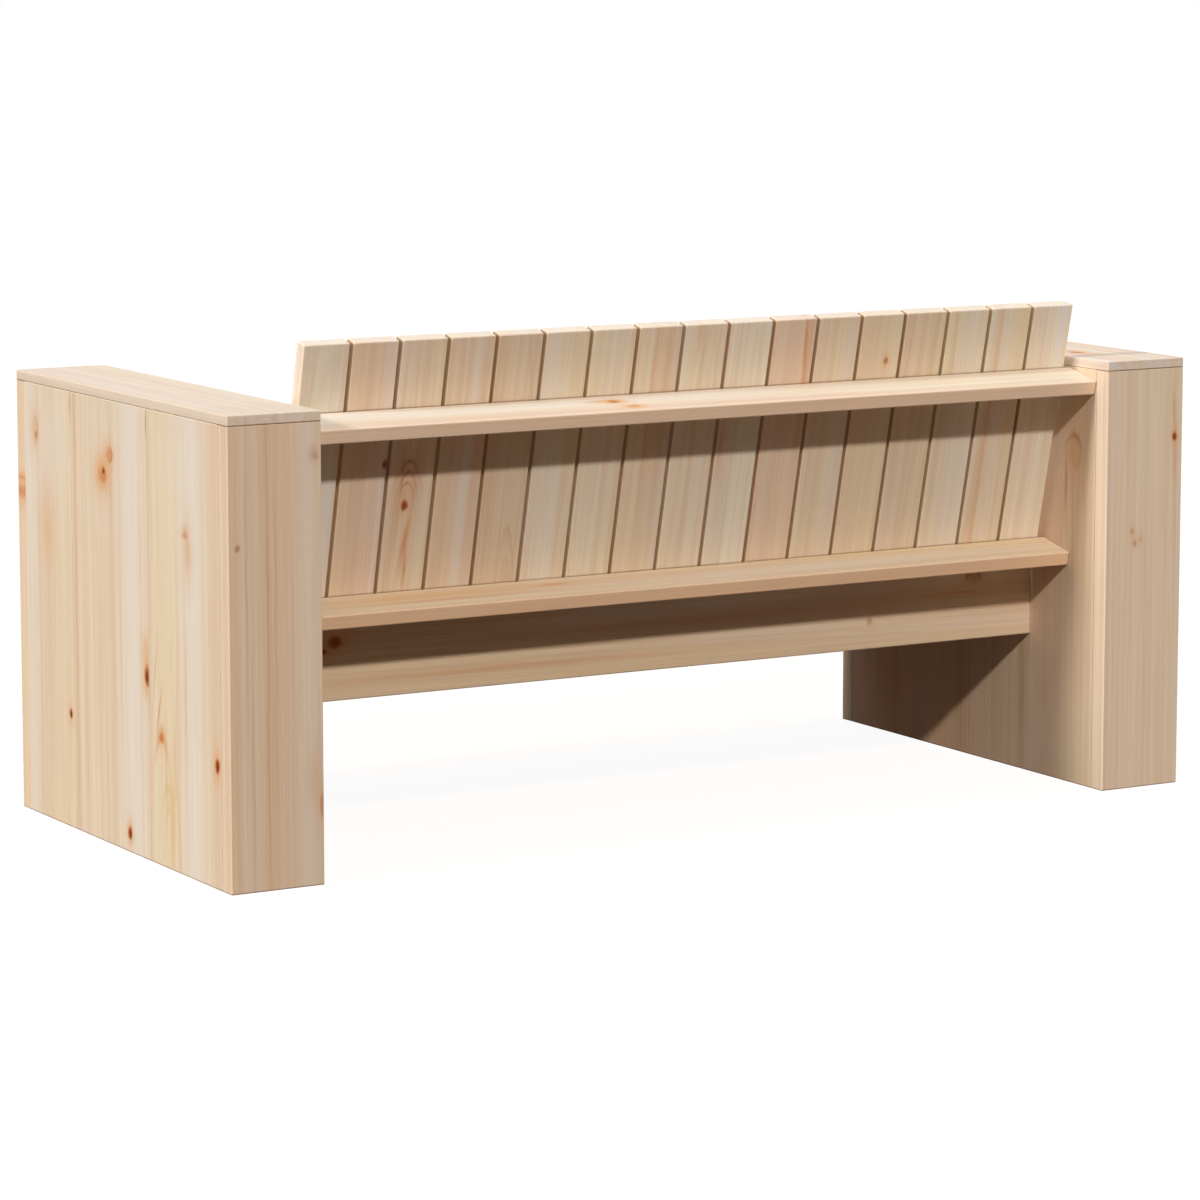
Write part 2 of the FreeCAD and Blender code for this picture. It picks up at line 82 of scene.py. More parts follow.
class Wire:
    # A shader socket that sums and products can be written with

    def __init__(self, tree, socket=None):
        self.tree = tree
        self.socket = socket

    def make(self, kind, settings=None, inputs=None, output=0):
        # A new node; inputs that are wires get linked, the others keep their value
        node = self.tree.nodes.new("ShaderNode" + kind)
        for name, value in (settings or {}).items():
            setattr(node, name, value)
        for name, value in (inputs or {}).items():
            if isinstance(value, Wire):
                self.tree.links.new(value.socket, node.inputs[name])
            else:
                node.inputs[name].default_value = value
        return Wire(self.tree, node.outputs[output] if node.outputs else None)

    def math(self, operation, first, second=0.0):
        return self.make("Math", {"operation": operation}, {0: first, 1: second})

    def __add__(self, other):
        return self.math("ADD", self, other)

    def __sub__(self, other):
        return self.math("SUBTRACT", self, other)

    def __rsub__(self, other):
        return self.math("SUBTRACT", other, self)

    def __mul__(self, other):
        return self.math("MULTIPLY", self, other)

    def __truediv__(self, other):
        return self.math("DIVIDE", self, other)

    def __pow__(self, other):
        return self.math("POWER", self, other)

    def __abs__(self):
        return self.math("ABSOLUTE", self)

    __radd__ = __add__
    __rmul__ = __mul__

    def low(self, other):
        return self.math("MINIMUM", self, other)

    def high(self, other):
        return self.math("MAXIMUM", self, other)

    def step(self, start, end):
        # 0 up to start, 1 from end, smooth between them; end may lie below start
        low, high = min(start, end), max(start, end)
        atLow, atHigh = (0.0, 1.0) if end > start else (1.0, 0.0)
        return self.make(
            "MapRange", {"interpolation_type": "SMOOTHSTEP"}, {0: self, 1: low, 2: high, 3: atLow, 4: atHigh}
        )

    def hump(self):
        # 1 at zero, falling off like a bell on both sides
        return self.math("EXPONENT", self * self * -1)

    def blend(self, first, second):
        # From the first colour at 0 to the second at 1
        colours = {6: first, 7: second}
        for name, colour in colours.items():
            if not isinstance(colour, Wire):
                colours[name] = (*colour, 1)
        return self.make("Mix", {"data_type": "RGBA"}, {0: self, **colours}, output=2)

    def vector(self, operation, other):
        return self.make("VectorMath", {"operation": operation}, {0: self, 1: other})

    def scaled(self, amount):
        return self.make("VectorMath", {"operation": "SCALE"}, {0: self, "Scale": amount})


def newMaterial(name):
    material = bpy.data.materials.new(name)
    material.use_nodes = True
    material.node_tree.nodes.clear()
    return material, Wire(material.node_tree)


def finishMaterial(start, surface):
    start.make("OutputMaterial", {}, {"Surface": surface})


def dress(piece, material):
    piece.data.materials.clear()
    piece.data.materials.append(material)


# Raw planed pine, sizes in millimetres. Colours are of unlit wood, except those marked below as painted light
# or shade.
pineWood = {
    "cream": (0.765, 0.620, 0.445),
    "tan": (0.700, 0.500, 0.335),
    "blush": (0.730, 0.540, 0.410),
    "honey": (0.755, 0.585, 0.380),
    "lilac": (0.755, 0.640, 0.525),
    "lateRing": (0.600, 0.380, 0.215),
    "ochre": (0.690, 0.440, 0.200),
    # Painted light: the warm pale colour of the rails' rear faces, as lit by light bounced from below
    "paintedRearLight": (0.830, 0.530, 0.330),
    "orange": (0.700, 0.320, 0.115),
    "knotBody": (0.530, 0.150, 0.040),
    "knotHeart": (0.180, 0.030, 0.008),
    # Painted shadow: the dark rim on one side of a knot
    "knotRimShadow": (0.260, 0.075, 0.025),
    # A painted highlight: the pale colour blended along every rounded edge
    "edge": (0.880, 0.760, 0.620),
    # The top end, painted pale and whitish: partly end grain, partly a painted highlight of the lit top
    "endGrain": (0.800, 0.730, 0.650),
    # Painted shade: shares the colour is multiplied by, in tight seams and in open gaps where boards meet
    "tightSeamShade": (0.46, 0.35, 0.27),
    "openSeamShade": (0.66, 0.55, 0.45),
    "roughness": 0.60,
    "specular": 0.12,
    "sheenTint": (0.75, 0.52, 0.34, 1.0),
    "edgeHighlightShare": 0.22,
    "grainHeight": 0.35,
}

# Tones of streaks and arches, with the painted shade of open joints and a painted warm bounce light
resin = (0.620, 0.270, 0.110)
rust = (0.420, 0.160, 0.080)
clay = (0.600, 0.340, 0.260)
amber = (0.680, 0.420, 0.200)
umber = (0.620, 0.380, 0.200)
copper = (0.620, 0.330, 0.200)
# Painted light: a warm bounce light on a shaded panel
paintedBounceLight = (0.880, 0.530, 0.320)
# Painted shade: the dark inside of a joint that opens at the top between planks
openJointShade = (0.260, 0.140, 0.070)

# Noises drawn out along the board: length and width in millimetres, detail, and a shift of their own
noises = {
    "slow": (330, 90, 1, 0.0),
    "wave": (70, 20, 2, 5.0),
    "band": (900, 9, 2, 9.0),
    "cloud": (800, 50, 1, 13.0),
    "streak": (150, 1.5, 2, 17.0),
    "fibre": (16, 0.4, 1, 21.0),
    "haze": (700, 26, 1, 29.0),
    "ragged": (8, 4, 2, 41.0),
}

# How far a board's seed moves its noises, and the share of that in each direction
seedShift = 3.7
shiftShares = (1.0, 1.3, 0.7)

# Growth rings: how they waver, how far round a knot they bend, and how uneven they are
ringShape = {
    "wave": 1.5, "swell": 0.6, "knotAlong": 0.32, "knotReach": 0.16,
    "unevenScale": 0.24, "uneven": 2.4, "rise": 3.0, "end": 0.86, "toneSpan": 0.7,
}

# Parts of a knot, as shares of its size
knotShape = {
    "haloAlong": 0.50, "haloAcross": 0.62, "point": 1.5, "rounding": 0.55, "ragged": 0.35, "wave": 0.2,
    "bodyInner": 0.6, "bodyOuter": 1.2, "heartAlong": 1.1, "heartAcross": 1.5, "heartShift": 0.12,
    "rimPlace": 0.95, "rimWidth": 0.18, "rimFade": 0.7,
}

# How unevenly streaks and arches run, in millimetres, and how far an arch's line reaches sideways
lineShape = {"streakWave": 2.0, "streakRagged": 0.4, "archWave": 3.0, "archRagged": 0.6, "archAcross": 0.8}

# Reach of the painted edge highlight, the painted seam shade and the pale top end, in millimetres from the
# face, apart from the dark core's share
edgeShape = {
    "inner": 2.4, "outer": 0.7, "uneven": 0.5, "seamCore": 0.35,
    "crossingWidth": 1.1, "crossingInner": 0.9, "crossingOuter": 0.2, "endInner": 0.7, "endOuter": 0.1,
}

# How strongly the noises show in the wood's colour
grainColour = {
    "bandSpan": 0.9, "bandMiddle": 0.45, "patch": 2.6, "hazeFrom": 0.1,
    "clearFrom": 0.45, "clearTo": -0.30, "clearSpan": 0.8, "streak": 0.11, "fibre": 0.04,
}

# How rings, streaks, fibre and knots stand out of the surface, and how matt they are
grainSurface = {
    "bumpReach": 0.0004, "lateHeight": 0.5, "streakHeight": 0.22, "fibreHeight": 0.28, "knotHeight": 0.8,
    "lateMatt": -0.10, "streakMatt": 0.05, "edgeMatt": 0.08, "knotMatt": 0.25,
}

# How the boards lie: their length, width and thickness directions
backTilt = math.radians(13)
upBack = (0, math.sin(backTilt), math.cos(backTilt))
behindBack = (0, math.cos(backTilt), -math.sin(backTilt))
alongX, alongY, alongZ = (1, 0, 0), (0, 1, 0), (0, 0, 1)
lies = {
    "backSlat": (upBack, alongX, behindBack),
    "backRail": (alongX, behindBack, upBack),
    "apron": (alongX, alongZ, alongY),
    "seatSlat": (alongY, alongX, alongZ),
    "cleat": (alongY, alongZ, alongX),
    "endBoard": (alongZ, alongX, alongY),
    "sideBoard": (alongZ, alongY, alongX),
    "cover": (alongY, alongX, alongZ),
}

# Faces that lie against a neighbour: the direction (0 along, 1 across, 2 through), its side,
# and how far the painted seam shade reaches in from that face
contacts = {
    "backSlat": ((1, -1, 0.8), (1, 1, 0.8)),
    "backRail": ((0, -1, 1.4), (0, 1, 1.4), (1, -1, 1.2)),
    "apron": ((0, -1, 1.4), (0, 1, 1.4)),
    "seatSlat": ((1, -1, 0.8), (1, 1, 0.8)),
    "cleat": ((0, -1, 1.0), (0, 1, 1.0)),
    "endBoard": ((0, -1, 2.0), (0, 1, 1.2)),
    "sideBoard": ((0, -1, 2.2), (0, 1, 0.4), (1, -1, 0.7), (1, 1, 0.7)),
    "cover": ((2, -1, 0.6),),
}


def measureBoard(piece, axes):
    # Middle and half size of a board along its own three directions
    middle = Vector((0, 0, 0))
    halves = []
    for axis in axes:
        direction = Vector(axis)
        reach = [vertex.co.dot(direction) for vertex in piece.data.vertices]
        low, high = min(reach), max(reach)
        middle += direction * (low + high) / 2
        halves.append((high - low) / 2 / millimetre)
    return middle, halves


class Board:
    # The wood of one board: position in it, its noise and its growth rings

    def __init__(self, start, piece, axes, look):
        self.start = start
        self.look = look
        middle, self.halves = measureBoard(piece, axes)
        place = start.make("TexCoord", output="Object")
        fromMiddle = place.vector("SUBTRACT", middle)
        self.along, self.across, self.through = [self.reach(fromMiddle, axis) for axis in axes]
        self.position = start.make("CombineXYZ", {}, {0: self.along, 1: self.across, 2: self.through})

    def reach(self, position, axis):
        # Millimetres from the board's middle along one direction
        scaledAxis = [part / millimetre for part in axis]
        inputs = {0: position, 1: scaledAxis}
        return self.start.make("VectorMath", {"operation": "DOT_PRODUCT"}, inputs, "Value")

    def noise(self, name):
        # One of the noises, from -1 to 1, unlike that of any other board
        length, width, detail, ownShift = noises[name]
        shift = self.look["seed"] * seedShift + ownShift
        stretched = self.start.make(
            "VectorMath",
            {"operation": "MULTIPLY_ADD"},
            {
                0: self.position,
                1: (1 / length, 1 / width, 1 / width),
                2: [shift * share for share in shiftShares],
            },
        )
        cloud = self.start.make(
            "TexNoise", {"noise_dimensions": "3D"}, {"Vector": stretched, "Scale": 1, "Detail": detail}
        )
        return cloud * 2 - 1

    def knotShares(self, knot):
        # Distances from a knot, along and across the board, as shares of its size
        alongShare = (self.along - knot["along"]) / knot["length"]
        acrossShare = (self.across - knot["across"]) / knot["width"]
        return alongShare, acrossShare

    def rings(self, wave):
        # Strength of the dark late wood, from the distance to the trunk's pith
        look = self.look
        slow = self.noise("slow")
        across = self.across + slow * look["wander"] + wave * ringShape["wave"]
        swell = slow * look["wander"] * ringShape["swell"]
        for knot in look["knots"]:
            alongShare, acrossShare = self.knotShares(knot)
            apart = alongShare * alongShare * ringShape["knotAlong"] + acrossShare * acrossShare
            pull = self.start.math("EXPONENT", apart * -ringShape["knotReach"])
            across = across - (self.across - knot["across"]) * pull * knot["bend"]
            swell = swell + pull * knot["bulge"]
        pithAcross = self.along * look["drift"] + look["pithAcross"]
        pithThrough = self.along * look["slope"] + look["pithThrough"]
        offAcross = across - pithAcross
        offThrough = self.through - pithThrough
        radius = (offAcross * offAcross + offThrough * offThrough) ** 0.5 + swell
        place = radius * (ringShape["unevenScale"] / look["ringWidth"]) + look["seed"]
        uneven = self.start.make("TexNoise", {"noise_dimensions": "1D"}, {"W": place, "Detail": 1})
        number = radius / look["ringWidth"] + uneven * ringShape["uneven"]
        phase = self.start.math("FRACT", number)
        whole = self.start.math("FLOOR", number)
        ringTone = self.start.make("TexWhiteNoise", {"noise_dimensions": "1D"}, {"W": whole + look["seed"]})
        late = phase ** ringShape["rise"] * phase.step(1.0, ringShape["end"])
        return late * (ringTone * ringShape["toneSpan"] + (1 - ringShape["toneSpan"]))

    def edge(self, wave):
        # 1 along the rounded edges, 0 on the faces
        ways = (self.along, self.across, self.through)
        first, second, third = [half - abs(way) for half, way in zip(self.halves, ways)]
        nearest = first.low(second)
        middle = nearest.high(first.high(second).low(third))
        return (middle + wave * edgeShape["uneven"]).step(edgeShape["inner"], edgeShape["outer"])

    def seams(self):
        # 1 where shade is painted: where the board lies against a neighbour, a little way round the edge
        #                           there, and where a rail crosses its rear face
        ways = (self.along, self.across, self.through)
        masks = []
        for axis, side, reach in self.look["contacts"]:
            depth = self.halves[axis] - ways[axis] * side
            masks.append(depth.step(reach, reach * edgeShape["seamCore"]))
        if self.look["crossings"]:
            depth = self.halves[2] - self.through
            rear = depth.step(edgeShape["crossingInner"], edgeShape["crossingOuter"])
            for place in self.look["crossings"]:
                masks.append(((self.along - place) / edgeShape["crossingWidth"]).hump() * rear)
        seam = masks[0]
        for mask in masks[1:]:
            seam = seam.high(mask)
        return seam


def addKnots(board, colour, wave, ragged):
    # Each knot has an orange halo, a brown body with a darker heart, and a dark rim on one side, painted as
    # the knot's shadow
    wood = pineWood
    shape = knotShape
    dark = None
    for knot in board.look["knots"]:
        alongShare, acrossShare = board.knotShares(knot)
        haloAlong = (alongShare * shape["haloAlong"] + wave * shape["wave"]).hump()
        halo = haloAlong * (acrossShare * shape["haloAcross"]).hump() * knot["halo"]
        colour = halo.blend(colour, wood["orange"])
        pointed = abs(alongShare) ** shape["point"] + acrossShare * acrossShare
        distance = pointed ** shape["rounding"] + ragged * shape["ragged"] + wave * shape["wave"]
        body = distance.step(shape["bodyOuter"], shape["bodyInner"]) * knot["strength"]
        heartAlong = (alongShare * shape["heartAlong"] + shape["heartShift"]).hump()
        heartAcross = ((acrossShare - shape["heartShift"]) * shape["heartAcross"]).hump()
        heart = heartAlong * heartAcross * knot["heart"]
        colour = body.blend(colour, heart.blend(wood["knotBody"], wood["knotHeart"]))
        # The rim: a dark ring kept to one side, a painted shadow beside the knot
        ring = ((distance - shape["rimPlace"]) / shape["rimWidth"]).hump()
        rim = ring * acrossShare.step(-shape["rimFade"], shape["rimFade"]) * knot["rim"]
        colour = rim.blend(colour, wood["knotRimShadow"])
        dark = body if dark is None else dark.high(body)
    return colour, dark


def addStreaks(board, colour, wave, ragged):
    # Streaks and bands run along the board, arches are the pointed lines of a flat-sawn face
    shape = lineShape
    for streak in board.look["streaks"]:
        offAlong = (board.along - streak["along"]) / streak["length"]
        bow = offAlong * offAlong * streak["bow"] + offAlong * streak["lean"]
        sideways = board.across - streak["across"] - bow + wave * shape["streakWave"]
        offAcross = (sideways + ragged * shape["streakRagged"]) / streak["width"]
        mask = offAlong.hump() * offAcross.hump() * streak["strength"]
        colour = mask.blend(colour, streak["colour"])
    for arch in board.look["arches"]:
        offAcross = (board.across - arch["across"]) / arch["width"]
        droop = offAcross * offAcross * arch["rise"]
        lengthways = board.along - arch["along"] + droop + wave * shape["archWave"]
        offAlong = (lengthways + ragged * shape["archRagged"]) / arch["thickness"]
        mask = offAlong.hump() * (offAcross * shape["archAcross"]).hump() * arch["strength"]
        colour = mask.blend(colour, arch["colour"])
    return colour


def pineMaterial(name, piece, axes, look):
    wood = pineWood
    grain = grainColour
    material, start = newMaterial(name)
    board = Board(start, piece, axes, look)
    wave = board.noise("wave")
    ragged = board.noise("ragged")
    late = board.rings(wave)
    band = board.noise("band")
    cloud = board.noise("cloud")
    haze = board.noise("haze")
    streak = board.noise("streak")
    fibre = board.noise("fibre")

    # Broad tones, then rings, streaks and knots, then the fine fibre
    colour = (band * grain["bandSpan"] + grain["bandMiddle"]).step(0.0, 1.0).blend(wood["cream"], wood["tan"])
    colour = ((cloud * grain["patch"]).step(0.0, 1.0) * look["blush"]).blend(colour, wood["blush"])
    colour = ((cloud * -grain["patch"]).step(0.0, 1.0) * look["honey"]).blend(colour, wood["honey"])
    hazeMask = (haze * grain["patch"]).step(grain["hazeFrom"], 1.0)
    colour = (hazeMask * look["lilac"]).blend(colour, wood["lilac"])
    clear = haze.step(grain["clearFrom"], grain["clearTo"]) * grain["clearSpan"] + (1 - grain["clearSpan"])
    colour = (late * clear * look["ringDepth"]).blend(colour, wood["lateRing"])
    colour = addStreaks(board, colour, wave, ragged)
    colour, dark = addKnots(board, colour, wave, ragged)
    shade = streak * grain["streak"] + fibre * grain["fibre"] + 1
    colour = colour.vector("MULTIPLY", look["tone"]).scaled(shade)
    edge = board.edge(streak)
    # Painted highlight: the rounded edges are blended towards a pale colour, as where light catches them
    colour = (edge * wood["edgeHighlightShare"]).blend(colour, wood["edge"])
    # Only the upper end is painted pale: partly end grain, partly a painted highlight of the lit top
    if look["endGrain"]:
        top = (board.halves[0] - board.along).step(edgeShape["endInner"], edgeShape["endOuter"])
        colour = (top * look["endGrain"]).blend(colour, wood["endGrain"])
    # Painted shade: the wood is darkened in seams and gaps where boards meet, and where the rails cross the
    # slats
    colour = board.seams().blend(colour, colour.vector("MULTIPLY", wood[look["seam"]]))

    feel = grainSurface
    relief = late * feel["lateHeight"] + streak * feel["streakHeight"] + fibre * feel["fibreHeight"]
    matt = late * feel["lateMatt"] + streak * feel["streakMatt"] + edge * feel["edgeMatt"] + wood["roughness"]
    if dark is not None:
        relief = relief + dark * feel["knotHeight"]
        matt = matt + dark * feel["knotMatt"]
    bump = start.make(
        "Bump", {}, {"Strength": wood["grainHeight"], "Distance": feel["bumpReach"], "Height": relief}
    )
    surface = start.make(
        "BsdfPrincipled",
        {},
        {
            "Base Color": colour,
            "Roughness": matt,
            "Normal": bump,
            "Specular IOR Level": wood["specular"],
            "Specular Tint": wood["sheenTint"],
        },
    )
    finishMaterial(start, surface)
    return material


# Tones that single boards lean to
tones = {
    "plain": (1.0, 1.0, 1.0),
    "grey": (1.03, 1.09, 1.16),
    "palest": (1.05, 1.11, 1.18),
    "pink": (1.00, 0.94, 0.93),
    "tan": (0.97, 0.95, 0.92),
    "brown": (0.93, 0.89, 0.85),
    "yellow": (1.00, 0.98, 0.90),
    "light": (1.02, 1.05, 1.05),
    "whitest": (1.05, 1.20, 1.38),
    "rosy": (0.99, 1.07, 1.24),
    "creamy": (1.00, 1.07, 1.12),
}


# Marks on a board. Places, from its middle, and sizes are in millimetres; strength, rim, halo, heart
# and bend are shares. Bend and bulge lead the rings round a knot, bow and lean curve and turn a
# streak, and rise is how far an arch's sides drop.
def knot(along, across, length, width, strength=0.9, rim=0.4, halo=0.5, heart=0.9, bend=0.75, bulge=3.0):
    return {
        "along": along, "across": across, "length": length, "width": width, "strength": strength,
        "rim": rim, "halo": halo, "heart": heart, "bend": bend, "bulge": bulge,
    }


def streak(along, across, length, width, strength, colour=resin, bow=0.0, lean=0.0):
    return {
        "along": along, "across": across, "length": length, "width": width,
        "strength": strength, "colour": colour, "bow": bow, "lean": lean,
    }


def band(across, width, strength, colour, length=2000):
    # A streak that runs from end to end
    return streak(0, across, length, width, strength, pineWood[colour])


def arch(along, across, width, rise, thickness, strength, colour=resin):
    return {
        "along": along, "across": across, "width": width, "rise": rise,
        "thickness": thickness, "strength": strength, "colour": colour,
    }


flatSawnShare = 0.45


def boardLook(seed, width, **given):
    # A board's own look: drawn from its seed, then changed by what is given for it
    draw = random.Random(seed)
    flatSawn = draw.random() < flatSawnShare
    side = draw.choice((-1, 1))
    look = {
        "seed": float(seed),
        "tone": tones[draw.choice(("plain", "tan", "light", "yellow", "pink", "grey"))],
        "ringWidth": draw.uniform(5.5, 9.5),
        "ringDepth": draw.uniform(0.30, 0.62),
        "blush": draw.uniform(0.3, 0.8),
        "honey": draw.uniform(0.3, 0.8),
        "lilac": draw.uniform(0.2, 0.8),
        "wander": draw.uniform(2.0, 5.0),
        "drift": draw.uniform(-0.012, 0.012),
        "slope": draw.uniform(0.012, 0.05) * side if flatSawn else draw.uniform(-0.01, 0.01),
        "pithAcross": draw.uniform(-0.3, 0.3) * width if flatSawn else side * draw.uniform(0.8, 1.6) * width,
        "pithThrough": side * draw.uniform(28, 60),
        "knots": [],
        "streaks": [],
        "arches": [],
        "seam": "tightSeamShade",
        "crossings": [],
        "endGrain": 0.0,
    }
    look.update(given)
    return look


def dressBoard(node, lie, seed, width, wash=(1, 1, 1), **given):
    if "tone" in given:
        given["tone"] = tones[given["tone"]]
    look = boardLook(seed, width, **given)
    look["tone"] = [tint * share for tint, share in zip(look["tone"], wash)]
    look.setdefault("contacts", contacts[lie])
    dress(nodes[node], pineMaterial("pine_" + node, nodes[node], lies[lie], look))


# Back slats, counted from the right arm. They are a little paler than the arms.
slatWash = (1.05, 1.12, 1.20)
backSlats = {
    17: {"tone": "grey", "ringDepth": 0.4, "lilac": 0.8, "drift": 0.03},
    16: {"tone": "pink", "ringDepth": 0.12, "knots": [knot(23, -28, 6, 4, rim=0.8, halo=0.3)]},
    15: {
        "tone": "plain",
        "ringDepth": 0.6,
        "drift": 0.04,
        "knots": [
            knot(-8, 3, 24, 13, strength=0.1, rim=0.0, halo=0.15, heart=0.0, bulge=9.0),
            knot(-30, 5, 7, 5, strength=0.95, rim=0.5, halo=0.35, bulge=0.0, bend=0.0),
        ],
        "streaks": [
            streak(-75, 0, 36, 4.0, 0.85, lean=-3), streak(-110, -3, 26, 2.0, 0.8),
            streak(10, 12, 24, 2.0, 0.5, rust), streak(-20, 15, 70, 5, 0.35),
            streak(2, -4, 34, 9, 0.5, clay),
        ],
        "arches": [
            arch(24, 4, 12, 12, 3.0, 0.7, rust), arch(11, 4, 9, 12, 2.6, 0.7, rust),
            arch(-2, 5, 8, 10, 2.2, 0.6, rust),
        ],
    },
    14: {"tone": "tan", "ringDepth": 0.2, "honey": 0.2, "streaks": [streak(80, -20, 200, 7, 0.25)]},
    13: {"tone": "brown", "ringDepth": 0.8, "ringWidth": 6.0, "drift": 0.05},
    12: {"tone": "light", "ringDepth": 0.75, "ringWidth": 6.5, "drift": -0.06},
    11: {"tone": "light", "ringDepth": 0.6, "drift": 0.07},
    10: {
        "tone": "plain",
        "ringDepth": 0.65,
        "drift": -0.08,
        "streaks": [streak(110, -14, 120, 5, 0.6, umber), streak(90, 4, 140, 3, 0.5)],
    },
    9: {"tone": "light", "ringDepth": 0.35, "streaks": [streak(165, 8, 30, 3, 0.35)]},
    8: {"tone": "grey", "ringDepth": 0.3, "streaks": [streak(25, 24, 40, 3, 0.6), streak(0, 20, 90, 5, 0.2)]},
    7: {
        "tone": "pink",
        "ringDepth": 0.45,
        "streaks": [streak(145, -17, 55, 2.2, 0.85, lean=4), streak(100, -21, 120, 5, 0.4)],
    },
    6: {"tone": "plain", "ringDepth": 0.6, "drift": 0.04},
    5: {"tone": "yellow", "ringDepth": 0.4, "knots": [knot(115, -11, 5, 3.5, strength=0.6, rim=0.3)]},
    4: {"tone": "tan", "ringDepth": 0.8, "drift": -0.05},
    3: {"tone": "light", "ringDepth": 0.65, "drift": 0.05},
    2: {"tone": "light", "ringDepth": 0.5, "honey": 0.9, "streaks": [streak(0, 14, 300, 5, 0.35)]},
    1: {"tone": "palest", "ringDepth": 0.2, "lilac": 0.9},
}


def railCrossings(slat):
    # How far up the slat, from its middle, the rails' upper and lower faces meet it
    places = []
    slatMiddle = measureBoard(slat, lies["backSlat"])[0]
    for rail in ("upper_back_rail", "lower_back_rail"):
        railMiddle, railHalves = measureBoard(nodes[rail], lies["backRail"])
        rise = (railMiddle - slatMiddle).dot(Vector(upBack)) / millimetre
        places += [rise + railHalves[2], rise - railHalves[2]]
    return places


# The first and the last slat have a neighbour on one side only
endSlats = {17: contacts["backSlat"][:1], 1: contacts["backSlat"][1:]}
slatWidth = 60
firstSeeds = {"backSlat": 100, "seatSlat": 200, "cleat": 230}
crossings = railCrossings(nodes["back_slat_01"])
for number, given in backSlats.items():
    dressBoard(
        f"back_slat_{number:02d}", "backSlat", firstSeeds["backSlat"] + number, slatWidth, wash=slatWash,
        seam="openSeamShade", endGrain=0.6, crossings=crossings,
        contacts=endSlats.get(number, contacts["backSlat"]), **given,
    )
print("back slats dressed")

# Rails and aprons
rails = {
    "upper_back_rail": {
        "lie": "backRail", "seed": 131, "width": 58, "tone": "whitest", "ringDepth": 0.4,
        "pithAcross": 160, "pithThrough": -20, "drift": 0.02, "blush": 0.3, "honey": 0.4, "lilac": 0.7,
        "knots": [
            knot(134, -7, 9, 5, strength=0.75, rim=0.3, halo=0.95, heart=0.2),
            knot(117, 13, 8, 4, strength=0.25, rim=0.2, halo=0.9, heart=0.2),
        ],
        "streaks": [
            streak(150, -9, 22, 4, 0.6), streak(345, 20, 240, 6, 0.3), streak(-110, 20, 200, 5, 0.3),
            # The rear face painted peach: painted light bounced from below
            band(29, 1.6, 0.95, "paintedRearLight"),
        ],
    },
    "lower_back_rail": {
        "lie": "backRail", "seed": 132, "width": 58, "tone": "light", "ringDepth": 0.7,
        "pithAcross": 150, "pithThrough": 25, "drift": -0.03,
        "streaks": [
            streak(350, -8, 150, 12, 0.6, amber), streak(185, -9, 26, 3.5, 0.8),
            streak(300, 8, 120, 3, 0.5), streak(-200, 4, 400, 16, 0.7, pineWood["lilac"]),
            # The rear face painted peach: painted light bounced from below
            band(29, 1.4, 0.9, "paintedRearLight"),
        ],
    },
    "rear_apron": {
        "lie": "apron", "seed": 133, "width": 100, "tone": "plain", "ringDepth": 0.8, "drift": 0.03,
        "knots": [
            knot(456, 20, 9, 8, heart=0.8, halo=0.8),
            knot(472, 10, 5, 4, strength=0.8),
            knot(-302, -15, 4, 5.5, strength=0.35, rim=0.4, halo=0.2, heart=0.5),
            knot(-462, 30, 12, 8, strength=0.3, rim=0.6, halo=0.3, bulge=12),
        ],
        "streaks": [
            streak(200, -28, 260, 4, 0.4), streak(-440, 12, 40, 2.5, 0.6), streak(-100, 6, 300, 6, 0.25),
        ],
    },
    "front_apron": {
        "lie": "apron", "seed": 134, "width": 100, "tone": "plain",
        "knots": [knot(-120, 22, 12, 8), knot(330, -18, 8, 6, strength=0.7)],
    },
}

for node, given in rails.items():
    dressBoard(node, **given)
print("rails and aprons dressed")

# Seat
seatKnots = {
    3: [knot(-60, 14, 11, 8)],
    6: [knot(110, -20, 8, 6, strength=0.8)],
    9: [knot(20, 6, 9, 7, strength=0.7, halo=0.7), knot(150, -12, 6, 4)],
    12: [knot(-130, -16, 12, 8, rim=0.8)],
    16: [knot(70, 18, 10, 7, halo=0.6)],
}

for number in range(1, len(backSlats) + 1):
    seed = firstSeeds["seatSlat"] + number
    dressBoard(f"seat_slat_{number:02d}", "seatSlat", seed, slatWidth, knots=seatKnots.get(number, []))
for number, side in enumerate(("left", "right")):
    dressBoard(f"{side}_seat_cleat", "cleat", firstSeeds["cleat"] + number, slatWidth)
print("seat dressed")

